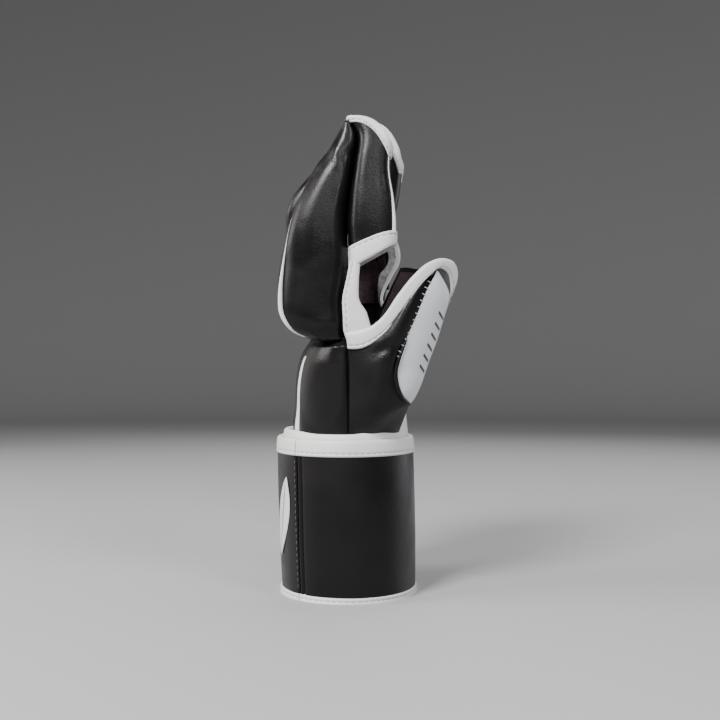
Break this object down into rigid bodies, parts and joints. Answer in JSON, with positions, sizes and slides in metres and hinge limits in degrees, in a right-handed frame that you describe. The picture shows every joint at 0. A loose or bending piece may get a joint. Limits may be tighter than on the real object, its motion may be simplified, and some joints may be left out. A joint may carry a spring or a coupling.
{
  "type": "mma glove",
  "caption": "Padded open-palm combat-sports glove for the left hand, with finger sleeves, thumb scoop and a wrap-around wrist strap.",
  "frame": {"origin": "middle of the cuff's lower opening, in the plane the glove stands on", "axes": "+Z from the cuff to the fingertips, +X the palm side, -X the padded back of the hand, -Y the thumb side"},
  "size_m": [0.0893, 0.097, 0.238],
  "materials": {
    "black_leather": "semi-gloss fine grain",
    "white_binding": "satin, edge stitched",
    "white_leather": "satin",
    "dark_lining": "matt satin weave",
    "knit_wrap": "matt knit",
    "loop_tape": "fuzzy loops",
    "hook_tape": "moulded hooks",
    "foam": "open-cell foam"
  },
  "bodies": {
    "hand": {"cuff_wrap": "knit_wrap", "cuff_wrap_binding": "white_binding", "loop_tape": "loop_tape", "strap_padding": "knit_wrap", "cuff_strap": "black_leather", "strap_top_binding": "white_binding", "strap_bottom_binding": "white_binding", "lower_pad_cover": "black_leather", "lower_pad_foam": "foam", "back_lining": "dark_lining", "radial_panel": "black_leather", "palm_heel": "black_leather", "ulnar_panel": "black_leather", "web_binding": "white_binding"},
    "flap": {"strap_flap": "black_leather", "flap_hook_tape": "hook_tape", "flap_top_binding": "white_binding", "flap_bottom_binding": "white_binding", "flap_badge": "white_leather"},
    "knuckle": {"knuckle_pad_cover": "black_leather", "knuckle_pad_foam": "foam", "knuckle_lining": "dark_lining", "web_edge_binding": "white_binding", "ulnar_knuckle_panel": "black_leather", "palm_edge_binding": "white_binding"},
    "thumb": {"thumb_shell": "black_leather", "thumb_lining": "dark_lining", "thumb_pad_cover": "white_leather", "thumb_pad_foam": "foam", "thumb_rim_binding": "white_binding"},
    "index": {"index_pad_cover": "black_leather", "index_pad_foam": "foam", "index_sleeve": "black_leather", "index_tip_binding": "white_binding", "index_sleeve_binding": "white_binding"},
    "middle": {"middle_pad_cover": "black_leather", "middle_pad_foam": "foam", "middle_sleeve": "black_leather", "middle_tip_binding": "white_binding", "middle_sleeve_binding": "white_binding"},
    "ring": {"ring_pad_cover": "black_leather", "ring_pad_foam": "foam", "ring_sleeve": "black_leather", "ring_tip_binding": "white_binding", "ring_sleeve_binding": "white_binding"},
    "little": {"little_pad_cover": "black_leather", "little_pad_foam": "foam", "little_sleeve": "black_leather", "little_tip_binding": "white_binding", "little_sleeve_binding": "white_binding"}
  },
  "joints": [
    {"name": "strap_open", "type": "hinge", "parent": "hand", "child": "flap", "pos_m": [-0.02457, -0.03206, 0.04], "axis": [0, 0, 1], "range_deg": [0, 110]},
    {"name": "hand_fold", "type": "hinge", "parent": "hand", "child": "knuckle", "pos_m": [0, 0, 0.129], "axis": [0, 1, 0], "range_deg": [-3, 10], "stiffness_Nm_per_rad": 1},
    {"name": "thumb_flex", "type": "hinge", "parent": "hand", "child": "thumb", "pos_m": [0.0185, -0.032, 0.1125], "axis": [0, 1, 0], "range_deg": [-4, 22], "stiffness_Nm_per_rad": 0.2},
    {"name": "index_curl", "type": "hinge", "parent": "knuckle", "child": "index", "pos_m": [0.001, -0.036, 0.165], "axis": [0, 1, 0], "range_deg": [-3, 30], "stiffness_Nm_per_rad": 0.2},
    {"name": "middle_curl", "type": "hinge", "parent": "knuckle", "child": "middle", "pos_m": [0.001, -0.012, 0.165], "axis": [0, 1, 0], "range_deg": [-3, 30], "stiffness_Nm_per_rad": 0.2},
    {"name": "ring_curl", "type": "hinge", "parent": "knuckle", "child": "ring", "pos_m": [0.001, 0.012, 0.165], "axis": [0, 1, 0], "range_deg": [-3, 30], "stiffness_Nm_per_rad": 0.2},
    {"name": "little_curl", "type": "hinge", "parent": "knuckle", "child": "little", "pos_m": [0.001, 0.036, 0.165], "axis": [0, 1, 0], "range_deg": [-3, 30], "stiffness_Nm_per_rad": 0.2}
  ]
}
